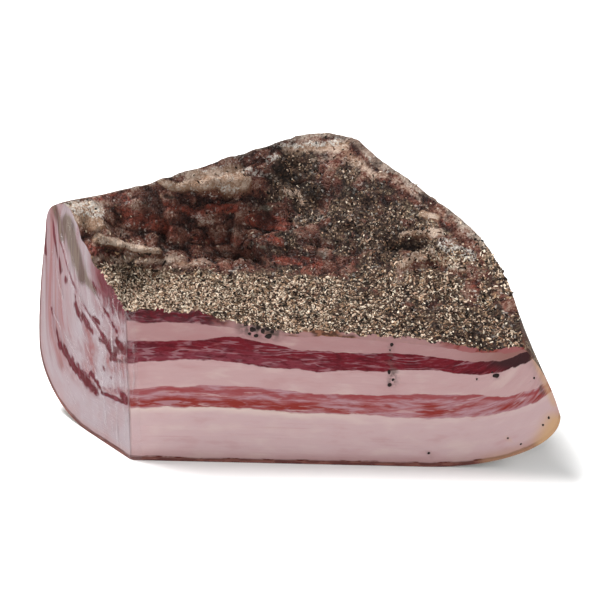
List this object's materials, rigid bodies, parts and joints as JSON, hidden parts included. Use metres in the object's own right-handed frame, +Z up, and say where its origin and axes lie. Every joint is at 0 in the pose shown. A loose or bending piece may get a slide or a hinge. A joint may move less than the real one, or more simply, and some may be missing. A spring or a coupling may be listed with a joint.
{
  "type": "pancetta block",
  "caption": "Block of flat cured belly with rind, bands of fat and lean, and a peppered crust; cut square on front and left, curled up at its natural edge.",
  "frame": {"origin": "centre of the block's bounding box, on the plane that it rests on", "axes": "+X along the front cut toward the thin end, +Y from the front cut toward the curled back, +Z up from the rind to the crust"},
  "size_m": [0.1762, 0.086, 0.086],
  "materials": {
    "fat_with_rind": "moist satin fat, brown rind below",
    "streaky_lean": "moist satin",
    "fat": "moist satin",
    "dark_lean": "moist satin",
    "pepper_crust": "rough, cracked pepper on dried lean"
  },
  "bodies": {
    "root": {"rind_fat": "fat_with_rind", "lean_lower": "streaky_lean", "fat_middle": "fat", "lean_upper": "dark_lean", "fat_upper": "fat", "peppered_top": "pepper_crust"}
  },
  "joints": []
}
